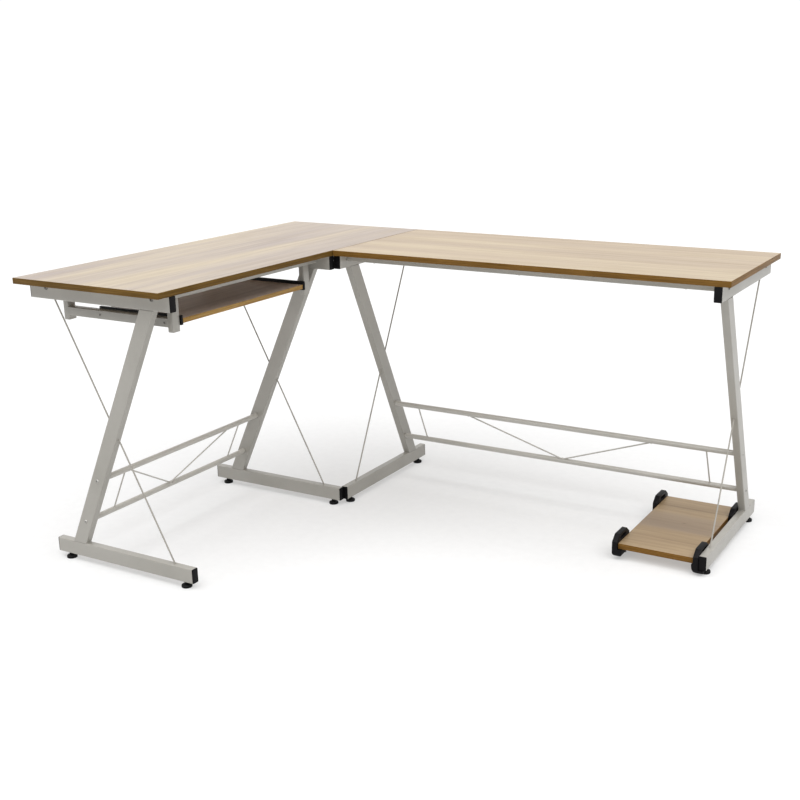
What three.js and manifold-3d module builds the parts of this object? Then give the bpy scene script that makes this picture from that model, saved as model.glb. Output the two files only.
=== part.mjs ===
// L-shaped corner desk: two laminated tops on four Z-shaped steel frames, with a sliding
// keyboard tray under the left wing and a computer stand at the foot of the right wing.
// Millimetres, +Z up, origin on the floor under the centre of the desk's outline.
//
// Each wing is laid out in its own frame: s runs from the wall side of the wing to the
// user's side, t runs along the wing, z is height.  The left wing has s along +X and t
// along +Y; the right wing is the same thing turned a quarter turn, s along -Y, t along +X.
import * as THREE from 'three';
import { mergeVertices } from 'three/addons/utils/BufferGeometryUtils.js';
import Module from 'manifold-3d';

const wasm = await Module();
wasm.setup();

// ---------------------------------------------------------------- driving dimensions
const HEIGHT = 750;            // floor to the top surface
const BOARD = 15;              // thickness of the tops and of the computer stand's board
const WING = 470;              // width of each wing, wall edge to user's edge
const LEFT_LENGTH = 1170;      // the left top runs the whole way into the corner
const RIGHT_LENGTH = 1115;     // the right top butts against the left one
const TUBE = 20;               // width of the frame tubes, along the wing
const BAR = 38;                // height of the top and foot bars
const LEG = 40;                // depth of the leg, square to its own axis
const WALL = 1.5;              // steel wall of every tube
const GAP = 0.3;               // what neighbouring pieces keep between them
const FOOT_CLEARANCE = 16;     // floor to the underside of the foot bars

// ---------------------------------------------------------------- worked-out heights
const UNDERSIDE = HEIGHT - BOARD;
const TOP_BAR_Z = UNDERSIDE - GAP - BAR / 2;
const FOOT_BAR_Z = FOOT_CLEARANCE + BAR / 2;
const LEG_LOW = FOOT_CLEARANCE + BAR;
const LEG_HIGH = UNDERSIDE - GAP - BAR;

// ---------------------------------------------------------------- Z-frames, across the wing
const BAR_OUTER = 16;          // wall-side end of the top and foot bars
const TOP_BAR_INNER = WING;          // the top bar stops flush with the wing's edge
const FOOT_BAR_INNER = WING + 4;     // the foot bar runs on a little past it
const LEG_FOOT_S = 95;         // centre of the leg where it meets the foot bar
const LEG_HEAD_S = 394;        // centre of the leg where it meets the top bar
const ROD = 4;                 // diameter of the brace rods and the stretcher wires
const ROD_HEAD_S = 87;
const ROD_FOOT_S = 411;
const ROD_CLEARANCE = 0.4;     // round the brace rod where it passes through the leg
const CAP_HEAD = 2;            // plastic end cap outside the tube
const CAP_PLUG = 14;           // and inside it
const CAP_LIP = 0.2;           // the cap's head is this much smaller all round
const TUBE_CORNER = 2;         // outside corner radius of a tube
const LEVELLER_S = [50, 444];  // axes of the two levelling feet
const LEVELLER_PAD = 27;       // diameter of a levelling foot's pad
const STUD = 8;                // and of its threaded stud
const STUD_HEIGHT = 27;        // the stud's reach into the foot bar

// ---------------------------------------------------------------- where the frames stand
const LEFT_END_T = -1132;      // left wing: face of each frame that is nearer to the end
const LEFT_INNER_T = -484;
const RIGHT_INNER_T = WING - 4;
const RIGHT_END_T = WING + RIGHT_LENGTH - 20 - TUBE;
const CORNER_SHIFT = -10.5;    // the right-inner frame sits nearer the wall, clear of its twin

// ---------------------------------------------------------------- rails and stretchers
const RAIL = 20;               // square tube under the tops
const RAIL_S = [72, 414];      // centres of the rear and front rails
const STRETCHER = 15;          // diameter of the stretcher tubes
const STRETCHER_Z = [238, 118];
const STRUT_INSET = 80;        // short wire's distance from the frame
const LEFT_VEE = { shift: -16, half: 201 };   // the long wires' middle, from the bay's, and
const RIGHT_VEE = { shift: 8, half: 285 };    // half their spread at the upper tube
const WIRE_SEAT = STRETCHER / 2 - 1;          // the wires' axes end just under the tubes' skin

// ---------------------------------------------------------------- keyboard tray
const TRAY_T = [-1051, -543];  // inner faces of the two hanging brackets
const TRAY_FRONT_S = 424;
const TRAY_DEPTH = 262;
const TRAY_BOARD = 12;
const TRAY_TOP_Z = 664;
const HANGER_DEPTH = 24;       // hanging bracket along the wing
const HANGER_LEG = 16;         // and across it
const HANGER_LOW_Z = 634;
const HANGER_BAR_Z = [646, 667];
const CHANNEL_HEIGHT = 23.5;   // sliding side channel, round the fixed rail
const CHANNEL_WIDTH = 8;
const CHANNEL_WALL = 1.6;
const CHANNEL_LOW_Z = 648.5;
const SLIDE_CLEARANCE = 0.5;
const RAIL_SET_BACK = 16;      // the fixed rails stop this far behind the tray's front edge

// ---------------------------------------------------------------- computer stand
const STAND_WIDTH = 201;       // across the stand, along the right wing
const STAND_NEAR_S = 470;      // user-side edge of its board
const STAND_DEPTH = 392;
const STAND_TOP_Z = 45;
const GUARD_LENGTH = 92;
const GUARD_THICK = 13.5;
const GUARD_TOP_Z = 66;
const GUARD_SHOULDER_Z = 50;
const OUTER_GUARD_LOW_Z = 9;
const INNER_GUARD_LOW_Z = 5;
const GUARD_BEVEL = 20;        // how far each end leans in between shoulder and top
const GUARD_OVERHANG = 7;      // past the end of the board
const GUARD_ROUND = 12;
const OUTER_LEDGE = 13;        // what each outer guard puts under the board
const INNER_LEDGE = 4;         // and each inner guard
const LEDGE_Z = STAND_TOP_Z - BOARD - GAP;
const HOOK = 14;               // what the inner guards put under the foot bar

// ---------------------------------------------------------------- finishes
const FINISHES = {
  laminate: { color: 0xd9cbb6, roughness: 0.55, metalness: 0 },
  tray: { color: 0x8d7f79, roughness: 0.55, metalness: 0 },
  standBoard: { color: 0xa08a6a, roughness: 0.55, metalness: 0 },
  steel: { color: 0xc9c8c2, roughness: 0.42, metalness: 0.1 },
  blackPlastic: { color: 0x1d1c1e, roughness: 0.5, metalness: 0 },
  blackSteel: { color: 0x151517, roughness: 0.35, metalness: 0.3 },
};

// ---------------------------------------------------------------- solid helpers
function toSolid(geometry) {
  const bare = geometry.clone();
  bare.deleteAttribute('normal');
  bare.deleteAttribute('uv');
  const merged = mergeVertices(bare, 1e-4);
  return new wasm.Manifold(new wasm.Mesh({
    numProp: 3,
    vertProperties: Float32Array.from(merged.attributes.position.array),
    triVerts: Uint32Array.from(merged.index.array),
  }));
}

function toGeometry(solid) {
  const mesh = solid.getMesh();
  const geometry = new THREE.BufferGeometry();
  geometry.setAttribute('position', new THREE.BufferAttribute(mesh.vertProperties, 3));
  geometry.setIndex(new THREE.BufferAttribute(mesh.triVerts, 1));
  geometry.computeVertexNormals();
  return geometry;
}

// box between two corners given as [s, t, z]
function block(low, high) {
  const size = high.map((value, axis) => value - low[axis]);
  const geometry = new THREE.BoxGeometry(...size);
  geometry.translate(...high.map((value, axis) => (value + low[axis]) / 2));
  return geometry;
}

// rectangle with rounded corners, centred on the origin
function roundedRectangle(width, height, radius, into = new THREE.Shape()) {
  const x = width / 2 - radius;
  const y = height / 2 - radius;
  into.absarc(x, y, radius, 0, Math.PI / 2);
  into.absarc(-x, y, radius, Math.PI / 2, Math.PI);
  into.absarc(-x, -y, radius, Math.PI, Math.PI * 1.5);
  into.absarc(x, -y, radius, Math.PI * 1.5, Math.PI * 2);
  into.closePath();
  return into;
}

// straight prism of the shape between two points, the shape's second axis held upright
function prism(shape, from, to, curveSegments = 4) {
  const start = new THREE.Vector3(...from);
  const along = new THREE.Vector3(...to).sub(start);
  const geometry = new THREE.ExtrudeGeometry(shape, {
    depth: along.length(), bevelEnabled: false, curveSegments,
  });
  const forward = along.normalize();
  const hint = Math.abs(forward.z) > 0.99 ? new THREE.Vector3(1, 0, 0) : new THREE.Vector3(0, 0, 1);
  const side = new THREE.Vector3().crossVectors(hint, forward).normalize();
  const up = new THREE.Vector3().crossVectors(forward, side);
  geometry.applyMatrix4(new THREE.Matrix4().makeBasis(side, up, forward).setPosition(start));
  return geometry;
}

// hollow rectangular tube with open ends
function squareTube(width, height, from, to) {
  const shape = roundedRectangle(width, height, TUBE_CORNER);
  const inner = roundedRectangle(width - 2 * WALL, height - 2 * WALL, TUBE_CORNER - WALL, new THREE.Path());
  shape.holes.push(inner);
  return prism(shape, from, to, 3);
}

function roundBar(diameter, from, to, segments = 12) {
  const shape = new THREE.Shape();
  shape.absarc(0, 0, diameter / 2, 0, Math.PI * 2);
  return prism(shape, from, to, segments / 2);
}

// solid of revolution about a vertical axis, from [radius, z] pairs that start and end on it
function turned(profile, segments) {
  const points = profile.map(([radius, z]) => new THREE.Vector2(radius, z));
  const geometry = new THREE.LatheGeometry(points, segments);
  geometry.rotateX(Math.PI / 2);
  return geometry;
}

// outline in the s-z or t-z plane, extruded along the third axis from start to end
function slab(outline, axis, start, end) {
  const shape = new THREE.Shape();
  outline(shape);
  const geometry = new THREE.ExtrudeGeometry(shape, {
    depth: end - start, bevelEnabled: false, curveSegments: 6,
  });
  const matrix = new THREE.Matrix4();
  if (axis === 's') {
    matrix.makeBasis(new THREE.Vector3(0, 1, 0), new THREE.Vector3(0, 0, 1), new THREE.Vector3(1, 0, 0));
    matrix.setPosition(start, 0, 0);
  } else {
    matrix.makeBasis(new THREE.Vector3(-1, 0, 0), new THREE.Vector3(0, 0, 1), new THREE.Vector3(0, 1, 0));
    matrix.setPosition(0, start, 0);
  }
  geometry.applyMatrix4(matrix);
  return geometry;
}

function part(name, geometry, finish) {
  const mesh = new THREE.Mesh(geometry, new THREE.MeshStandardMaterial(FINISHES[finish]));
  mesh.name = name;
  return mesh;
}

// ---------------------------------------------------------------- tops
function leftTop() {
  return part('left_top', block([0, -LEFT_LENGTH, UNDERSIDE], [WING, 0, HEIGHT]), 'laminate');
}

function rightTop() {
  const low = [0, WING + GAP, UNDERSIDE];
  const high = [WING, WING + RIGHT_LENGTH, HEIGHT];
  return part('right_top', block(low, high), 'laminate');
}

// ---------------------------------------------------------------- Z-frame
// s of a sloping member at a height, from its s at the foot bar and at the top bar
function slopeAt(footS, headS, z) {
  return footS + (headS - footS) * (z - LEG_LOW) / (LEG_HIGH - LEG_LOW);
}

// sloping stock run past both bars, then cut level at a gap from each
function slopingMember(stock, footS, headS) {
  const level = block([0, -TUBE, LEG_LOW + GAP], [WING, 2 * TUBE, LEG_HIGH - GAP]);
  const [from, to] = [LEG_LOW - BAR, LEG_HIGH + BAR].map((z) => [slopeAt(footS, headS, z), TUBE / 2, z]);
  return toSolid(stock(from, to)).intersect(toSolid(level));
}

function slopingRod(diameter) {
  return slopingMember((from, to) => roundBar(diameter, from, to, 10), ROD_FOOT_S, ROD_HEAD_S);
}

// the leg, drilled for the brace rod that passes through it
function frameLeg() {
  const leg = slopingMember((from, to) => squareTube(TUBE, LEG, from, to), LEG_FOOT_S, LEG_HEAD_S);
  return toGeometry(leg.subtract(slopingRod(ROD + 2 * ROD_CLEARANCE)));
}

function frameBar(innerS, z) {
  const from = [BAR_OUTER + CAP_HEAD + GAP, TUBE / 2, z];
  const to = [innerS - CAP_HEAD - GAP, TUBE / 2, z];
  return squareTube(TUBE, BAR, from, to);
}

function footBar() {
  let bar = toSolid(frameBar(FOOT_BAR_INNER, FOOT_BAR_Z));
  for (const s of LEVELLER_S) {
    const hole = roundBar(STUD + 1, [s, TUBE / 2, 0], [s, TUBE / 2, FOOT_BAR_Z], 16);
    bar = bar.subtract(toSolid(hole));
  }
  return toGeometry(bar);
}

// levelling foot: flat pad, domed shoulder, stud up through the wall of the foot bar
function levellingFoot(s) {
  const rim = LEVELLER_PAD / 2;
  const neck = rim * 0.48;
  const shoulder = FOOT_CLEARANCE - GAP;
  const studTop = FOOT_CLEARANCE + STUD_HEIGHT;
  const pad = [[0, 0], [rim * 0.9, 0], [rim, 1.6], [rim, 6.5], [rim * 0.89, 8.6], [rim * 0.56, 10.2]];
  const stud = [[neck, shoulder], [STUD / 2, shoulder], [STUD / 2, studTop - 1], [STUD / 2 - 1, studTop], [0, studTop]];
  const foot = turned([...pad, ...stud], 24);
  foot.translate(s, TUBE / 2, 0);
  return foot;
}

// end cap: a head just smaller than the tube's end and a plug inside it
function endCap(endS, outward, z) {
  const across = (first, second) => [Math.min(first, second), Math.max(first, second)];
  const [headLow, headHigh] = across(endS, endS - outward * CAP_HEAD);
  const [plugLow, plugHigh] = across(endS - outward * CAP_HEAD / 2, endS - outward * (CAP_HEAD + CAP_PLUG));
  const head = prism(roundedRectangle(TUBE - 2 * CAP_LIP, BAR - 2 * CAP_LIP, TUBE_CORNER),
    [headLow, TUBE / 2, z], [headHigh, TUBE / 2, z], 3);
  const plugWidth = TUBE - 2 * (WALL + GAP);
  const plug = prism(roundedRectangle(plugWidth, BAR - 2 * (WALL + GAP), TUBE_CORNER),
    [plugLow, TUBE / 2, z], [plugHigh, TUBE / 2, z], 3);
  return toGeometry(toSolid(head).add(toSolid(plug)));
}

function zFrame(name, t, shift = 0) {
  const frame = new THREE.Group();
  frame.position.set(shift, t, 0);
  frame.add(part(`${name}_top_bar`, frameBar(TOP_BAR_INNER, TOP_BAR_Z), 'steel'));
  frame.add(part(`${name}_leg`, frameLeg(), 'steel'));
  frame.add(part(`${name}_foot_bar`, footBar(), 'steel'));
  frame.add(part(`${name}_brace_rod`, toGeometry(slopingRod(ROD)), 'steel'));
  const bars = { top: [TOP_BAR_INNER, TOP_BAR_Z], foot: [FOOT_BAR_INNER, FOOT_BAR_Z] };
  for (const [bar, [innerS, z]] of Object.entries(bars)) {
    frame.add(part(`${name}_${bar}_cap_outer`, endCap(BAR_OUTER, -1, z), 'blackPlastic'));
    frame.add(part(`${name}_${bar}_cap_inner`, endCap(innerS, 1, z), 'blackPlastic'));
  }
  LEVELLER_S.forEach((s, index) => {
    const side = index === 0 ? 'outer' : 'inner';
    frame.add(part(`${name}_leveller_${side}`, levellingFoot(s), 'blackPlastic'));
  });
  return frame;
}

// ---------------------------------------------------------------- between two frames
function topRails(name, tLow, tHigh) {
  const z = UNDERSIDE - GAP - RAIL / 2;
  return ['rear', 'front'].map((side, index) => {
    const rail = squareTube(RAIL, RAIL, [RAIL_S[index], tLow + GAP, z], [RAIL_S[index], tHigh - GAP, z]);
    return part(`${name}_${side}_rail`, rail, 'steel');
  });
}

// a wire whose axis joins two points, run on by its own diameter at both ends
function seatedWire(from, to) {
  const start = new THREE.Vector3(...from);
  const end = new THREE.Vector3(...to);
  const spare = end.clone().sub(start).setLength(ROD);
  return toSolid(roundBar(ROD, start.sub(spare).toArray(), end.add(spare).toArray(), 10));
}

// one welded ladder: two tubes in the plane of the legs, a short wire near each end and two
// long wires from the upper tube to the middle of the lower one
function stretcherLadder(name, tLow, tHigh, vee) {
  const [upper, lower] = STRETCHER_Z.map((z) => ({ s: slopeAt(LEG_FOOT_S, LEG_HEAD_S, z), z }));
  const span = Math.hypot(upper.s - lower.s, upper.z - lower.z);
  const seat = { s: (upper.s - lower.s) * WIRE_SEAT / span, z: (upper.z - lower.z) * WIRE_SEAT / span };
  const middle = (tLow + tHigh) / 2 + vee.shift;
  const tubes = [upper, lower].map(({ s, z }) => (
    { outer: roundBar(STRETCHER, [s, tLow + GAP, z], [s, tHigh - GAP, z], 16),
      bore: roundBar(STRETCHER - 2 * WALL, [s, tLow, z], [s, tHigh, z], 12) }));
  const wires = [
    [tLow + STRUT_INSET, tLow + STRUT_INSET],
    [tHigh - STRUT_INSET, tHigh - STRUT_INSET],
    [middle - vee.half, middle - ROD / 2],
    [middle + vee.half, middle + ROD / 2],
  ].map(([upperT, lowerT]) => seatedWire(
    [upper.s - seat.s, upperT, upper.z - seat.z], [lower.s + seat.s, lowerT, lower.z + seat.z]));
  let ladder = toSolid(tubes[0].outer).add(toSolid(tubes[1].outer));
  for (const wire of wires) ladder = ladder.add(wire);
  for (const tube of tubes) ladder = ladder.subtract(toSolid(tube.bore));
  return part(`${name}_stretcher`, toGeometry(ladder), 'steel');
}

// ---------------------------------------------------------------- keyboard tray
// hanging bracket: a leg under each rail and a bar between them, open underneath
function trayHanger(name, tLow) {
  const tHigh = tLow + HANGER_DEPTH;
  const headZ = UNDERSIDE - GAP - RAIL - GAP;
  const [barLow, barHigh] = HANGER_BAR_Z;
  const [rear, front] = RAIL_S.map((s) => [s - HANGER_LEG / 2, s + HANGER_LEG / 2]);
  let hanger = toSolid(block([rear[1] - WALL, tLow, barLow], [front[0] + WALL, tHigh, barHigh]));
  for (const [low, high] of [rear, front]) {
    hanger = hanger.add(toSolid(block([low, tLow, HANGER_LOW_Z], [high, tHigh, headZ])));
  }
  for (const [low, high] of [rear, front]) {
    const hollow = block([low + WALL, tLow + WALL, HANGER_LOW_Z - 1], [high - WALL, tHigh - WALL, headZ - WALL]);
    hanger = hanger.subtract(toSolid(hollow));
  }
  const trough = block([rear[1], tLow + WALL, barLow - 1], [front[0], tHigh - WALL, barHigh - WALL]);
  return part(name, toGeometry(hanger.subtract(toSolid(trough))), 'steel');
}

// side channel on the edge of the tray board; it opens away from the board, round the rail
function sideChannel(name, bracketFace, inward) {
  const near = bracketFace + inward * SLIDE_CLEARANCE;
  const far = near + inward * CHANNEL_WIDTH;
  const web = far - inward * CHANNEL_WALL;
  const range = (first, second) => [Math.min(first, second), Math.max(first, second)];
  const [tLow, tHigh] = range(near, far);
  const [cutLow, cutHigh] = range(near - inward, web);
  const s = [TRAY_FRONT_S - TRAY_DEPTH, TRAY_FRONT_S];
  const z = [CHANNEL_LOW_Z, CHANNEL_LOW_Z + CHANNEL_HEIGHT];
  const outer = toSolid(block([s[0], tLow, z[0]], [s[1], tHigh, z[1]]));
  const groove = toSolid(block([s[0] - 1, cutLow, z[0] + CHANNEL_WALL], [s[1] + 1, cutHigh, z[1] - CHANNEL_WALL]));
  return part(name, toGeometry(outer.subtract(groove)), 'blackSteel');
}

// fixed rail screwed to the inner face of the hanging bracket, inside the side channel
function fixedRail(name, bracketFace, inward) {
  const face = bracketFace + inward * GAP;
  const back = bracketFace + inward * (CHANNEL_WIDTH - CHANNEL_WALL - SLIDE_CLEARANCE);
  const z = [CHANNEL_LOW_Z + CHANNEL_WALL + SLIDE_CLEARANCE,
    CHANNEL_LOW_Z + CHANNEL_HEIGHT - CHANNEL_WALL - SLIDE_CLEARANCE];
  const s = [TRAY_FRONT_S - TRAY_DEPTH, TRAY_FRONT_S - RAIL_SET_BACK];
  const low = [s[0], Math.min(face, back), z[0]];
  const high = [s[1], Math.max(face, back), z[1]];
  return part(name, block(low, high), 'blackSteel');
}

function trayBoard() {
  const edge = SLIDE_CLEARANCE + CHANNEL_WIDTH + GAP;
  const low = [TRAY_FRONT_S - TRAY_DEPTH, TRAY_T[0] + edge, TRAY_TOP_Z - TRAY_BOARD];
  const high = [TRAY_FRONT_S, TRAY_T[1] - edge, TRAY_TOP_Z];
  return part('tray_board', block(low, high), 'tray');
}

function keyboardTray() {
  const tray = new THREE.Group();
  tray.add(trayBoard());
  tray.add(trayHanger('tray_hanger_near', TRAY_T[0] - HANGER_DEPTH));
  tray.add(trayHanger('tray_hanger_far', TRAY_T[1]));
  tray.add(sideChannel('tray_channel_near', TRAY_T[0], 1));
  tray.add(sideChannel('tray_channel_far', TRAY_T[1], -1));
  tray.add(fixedRail('tray_rail_near', TRAY_T[0], 1));
  tray.add(fixedRail('tray_rail_far', TRAY_T[1], -1));
  return tray;
}

// ---------------------------------------------------------------- computer stand
// side view of a guard in the s-z plane, its user-side end at nearS
function guardSideView(shape, nearS, low) {
  const at = (back, z) => [back - nearS, z];
  const end = GUARD_LENGTH;
  shape.moveTo(...at(GUARD_ROUND, low));
  shape.quadraticCurveTo(...at(0, low), ...at(0, low + GUARD_ROUND));
  shape.lineTo(...at(0, GUARD_SHOULDER_Z));
  shape.lineTo(...at(GUARD_BEVEL, GUARD_TOP_Z));
  shape.lineTo(...at(end - GUARD_BEVEL, GUARD_TOP_Z));
  shape.lineTo(...at(end, GUARD_SHOULDER_Z));
  shape.lineTo(...at(end, low + GUARD_ROUND));
  shape.quadraticCurveTo(...at(end, low), ...at(end - GUARD_ROUND, low));
  shape.closePath();
}

// end view of an outer guard in the t-z plane: upright wall, round foot, ledge under the board
function outerGuardEndView(shape, wallT) {
  const outside = wallT - GUARD_THICK;
  const tip = wallT + OUTER_LEDGE;
  const low = OUTER_GUARD_LOW_Z;
  shape.moveTo(outside + GUARD_ROUND, low);
  shape.lineTo(tip - GUARD_ROUND, low);
  shape.quadraticCurveTo(tip, low, tip, low + GUARD_ROUND);
  shape.lineTo(tip, LEDGE_Z);
  shape.lineTo(wallT, LEDGE_Z);
  shape.lineTo(wallT, GUARD_TOP_Z + 1);
  shape.lineTo(outside, GUARD_TOP_Z + 1);
  shape.lineTo(outside, low + GUARD_ROUND);
  shape.quadraticCurveTo(outside, low, outside + GUARD_ROUND, low);
  shape.closePath();
}

// end view of an inner guard: upright wall against the foot bar, ledge under the board on one
// side and a hook under the bar on the other
function innerGuardEndView(shape, wallT) {
  const barFace = wallT + GUARD_THICK;
  const ledgeTip = wallT - INNER_LEDGE;
  const hookTip = barFace + HOOK;
  const hookTop = FOOT_CLEARANCE - GAP;
  const low = INNER_GUARD_LOW_Z;
  shape.moveTo(ledgeTip, LEDGE_Z);
  shape.quadraticCurveTo(ledgeTip, low, barFace, low);
  shape.lineTo(hookTip - HOOK / 3, low);
  shape.quadraticCurveTo(hookTip, low, hookTip, hookTop);
  shape.lineTo(barFace, hookTop);
  shape.lineTo(barFace, GUARD_TOP_Z + 1);
  shape.lineTo(wallT, GUARD_TOP_Z + 1);
  shape.lineTo(wallT, LEDGE_Z);
  shape.closePath();
}

// a guard is where its side view and its end view meet
function guardSolid(endView, wallT, nearS, low) {
  const side = slab((shape) => guardSideView(shape, nearS, low), 't', wallT - WING, wallT + WING);
  const end = slab((shape) => endView(shape, wallT), 's', nearS - GUARD_LENGTH - 1, nearS + 1);
  return toSolid(side).intersect(toSolid(end));
}

function computerStand() {
  const stand = new THREE.Group();
  const innerWall = RIGHT_END_T - GAP - GUARD_THICK;
  const boardT = [innerWall - GAP - STAND_WIDTH, innerWall - GAP];
  const outerWall = boardT[0] - GAP;
  const boardS = [STAND_NEAR_S - STAND_DEPTH, STAND_NEAR_S];
  const board = block([boardS[0], boardT[0], STAND_TOP_Z - BOARD], [boardS[1], boardT[1], STAND_TOP_Z]);
  stand.add(part('stand_board', board, 'standBoard'));
  // the near inner guard is notched round the levelling foot that it straddles
  const clearance = LEVELLER_PAD + 4;
  const notchS = LEVELLER_S[1];
  const notchT = RIGHT_END_T + TUBE / 2;
  const notch = toSolid(roundBar(clearance, [notchS, notchT, -1], [notchS, notchT, FOOT_CLEARANCE], 24));
  const guardEnds = {
    near: STAND_NEAR_S + GUARD_OVERHANG,
    far: boardS[0] - GUARD_OVERHANG + GUARD_LENGTH,
  };
  for (const [place, nearS] of Object.entries(guardEnds)) {
    const outer = guardSolid(outerGuardEndView, outerWall, nearS, OUTER_GUARD_LOW_Z);
    const inner = guardSolid(innerGuardEndView, innerWall, nearS, INNER_GUARD_LOW_Z).subtract(notch);
    stand.add(part(`stand_guard_outer_${place}`, toGeometry(outer), 'blackPlastic'));
    stand.add(part(`stand_guard_inner_${place}`, toGeometry(inner), 'blackPlastic'));
  }
  return stand;
}

// ---------------------------------------------------------------- the two wings
function leftWing() {
  const wing = new THREE.Group();
  const bay = [LEFT_END_T + TUBE, LEFT_INNER_T];
  wing.add(leftTop());
  wing.add(zFrame('left_end', LEFT_END_T));
  wing.add(zFrame('left_inner', LEFT_INNER_T));
  wing.add(...topRails('left', ...bay));
  wing.add(stretcherLadder('left', ...bay, LEFT_VEE));
  wing.add(keyboardTray());
  return wing;
}

function rightWing() {
  const wing = new THREE.Group();
  const bay = [RIGHT_INNER_T + TUBE, RIGHT_END_T];
  wing.add(rightTop());
  wing.add(zFrame('right_inner', RIGHT_INNER_T, CORNER_SHIFT));
  wing.add(zFrame('right_end', RIGHT_END_T));
  wing.add(...topRails('right', ...bay));
  wing.add(stretcherLadder('right', ...bay, RIGHT_VEE));
  wing.add(computerStand());
  wing.rotation.z = -Math.PI / 2;
  return wing;
}

const desk = new THREE.Group();
desk.add(leftWing());
desk.add(rightWing());
desk.position.set(-(WING + RIGHT_LENGTH) / 2, LEFT_LENGTH / 2, 0);

export default desk;
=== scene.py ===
"""Looks of an L-shaped corner desk: laminated boards with edge bands on powder-coated steel
frames, a sliding keyboard tray and a computer stand.  Metres, +Z up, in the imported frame.

Each wing is laid out in its own axes, as the frame was: s runs from the wall edge to the
user's edge, t runs along the wing and z is height.
"""

import math

import bmesh
import bpy
from mathutils import Matrix, Vector, noise


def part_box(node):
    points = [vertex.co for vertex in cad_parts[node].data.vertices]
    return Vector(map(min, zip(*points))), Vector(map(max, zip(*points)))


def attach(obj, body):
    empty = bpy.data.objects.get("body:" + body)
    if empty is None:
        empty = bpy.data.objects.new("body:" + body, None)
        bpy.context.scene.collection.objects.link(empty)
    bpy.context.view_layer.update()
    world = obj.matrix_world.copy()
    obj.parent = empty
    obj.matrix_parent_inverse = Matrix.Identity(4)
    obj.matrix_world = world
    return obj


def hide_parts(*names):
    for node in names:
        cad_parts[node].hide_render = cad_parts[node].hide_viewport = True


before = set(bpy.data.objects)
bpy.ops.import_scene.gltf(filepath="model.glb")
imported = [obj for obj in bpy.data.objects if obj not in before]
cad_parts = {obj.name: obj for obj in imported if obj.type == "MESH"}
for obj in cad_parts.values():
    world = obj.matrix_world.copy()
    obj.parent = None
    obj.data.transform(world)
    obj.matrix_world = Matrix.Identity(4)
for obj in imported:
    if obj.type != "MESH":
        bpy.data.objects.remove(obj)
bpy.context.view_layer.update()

MM = 0.001
WALL = 1.5 * MM                 # steel wall of the tubes
BAND = 1.0 * MM                 # thickness of the plastic edge band
BAND_ROUND = 0.8 * MM           # its rounded long edges
BOARD_CORNER = 1.6 * MM         # rounding of a board's upright corners
HAIR = 0.03 * MM                # what keeps two touching skins apart
STRUT_INSET = 80 * MM           # short stretcher wires from the frames
VEE = {                         # long wires: their middle from the bay's, half their spread
    "left": (-16 * MM, 201 * MM),
    "right": (8 * MM, 285 * MM),
}
WIRE = 4 * MM                   # diameter of the rods and wires
STRETCHER_RADIUS = 7.5 * MM     # of the stretcher tubes
CAP_HEAD = 2 * MM               # thickness of an end cap's head, outside the tube
CAP_ROUND = 0.6 * MM            # rounding of its edge
CAP_CORNER = 1.8 * MM           # rounding of its corners, seen from the end
FRAME_BEAD = 1.7 * MM           # radius of the weld beads between a leg and its bars
ROD_BEAD = 0.9 * MM             # and of those round the brace rod's ends
BEAD_INSET = 2.5 * MM           # the leg's beads stop this far from its corners
HANGER_LEG = 16 * MM            # the tray's hanging brackets, across the wing
HANGER_SCREW_DROP = 4 * MM      # their screws below the middle of the fixed rail
CATCH_DROP = 24 * MM            # the catch below the bracket's top
CHANNEL_STOP = 1.6 * MM         # thickness of the stop on a channel's front
FLANGE = 1.2 * MM               # thickness of the channel's flange under the tray board
FLANGE_REACH = 22 * MM          # how far it runs in under the board
FLANGE_INSET = 4 * MM           # its ends from the board's ends
TRAY_SCREW_INSET = 12 * MM      # its screws from the board's edge
ANGLE = 2.5 * MM                # thickness of the two steel angles under the seam
ANGLE_REACH = 48 * MM           # their flat leaf, under the left top
ANGLE_HALF = 20 * MM            # half their length, along the top bar
ANGLE_RISE = 6 * MM             # their upright leaf ends this far above the bar's underside
ANGLE_SCREWS = 11 * MM          # half the distance between their screws
NUT = 6.4 * MM                  # half the width of a levelling foot's hexagon, over its corners
STUD = 4 * MM                   # radius of its threaded stud
THREAD_PITCH = 1.25 * MM
FLUTES = 30                     # grip flutes round its pad
FLUTE_DEPTH = 0.45 * MM
GUARD_SLOT = Vector((38 * MM, 9 * MM))   # strap slot through each guard
GUARD_SLOT_RISE = 8.8 * MM      # its centre above the stand's board
FLOOR_GLOW = 0.38               # how much the studio floor shines by itself
FILL = 0.15                     # brightness of the surroundings
SUNS = (                        # name, direction it comes from, strength, angular size
    ("key", (0.12, -0.22, 1.0), 4.1, 90),
    ("side", (1.0, -0.3, 0.45), 0.15, 60),
)
CAMERA_PLACE = (1.5173, -2.5504, 1.2418)
CAMERA_TURN = (29.318, 16.599, -0.665)   # turn to the left, tilt down and roll, in degrees
CAMERA_LENS = 52.61
CAMERA_SHIFT = (-0.053, 0.0149)
FRAMES = ("left_end", "left_inner", "right_inner", "right_end")
CORNER = Vector((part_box("left_top")[0].x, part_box("left_top")[1].y, 0))
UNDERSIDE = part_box("left_top")[0].z
WINGS = {
    "left": Matrix.Translation(CORNER),
    "right": Matrix.Translation(CORNER) @ Matrix.Rotation(math.radians(-90), 4, "Z"),
}


# ---------------------------------------------------------------- places from the frame
def wing_name(node):
    return "right" if node.startswith(("right", "stand")) else "left"


def wing_of(node):
    """The axes of the wing that a node belongs to."""
    return WINGS[wing_name(node)]


def local_box(node):
    """(low, high) corners of a CAD node along its own wing: s, t, z."""
    back = wing_of(node).inverted()
    corners = [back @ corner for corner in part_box(node)]
    low = Vector([min(pair) for pair in zip(*corners)])
    high = Vector([max(pair) for pair in zip(*corners)])
    return low, high


def centre(node):
    low, high = local_box(node)
    return (low + high) / 2


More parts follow.
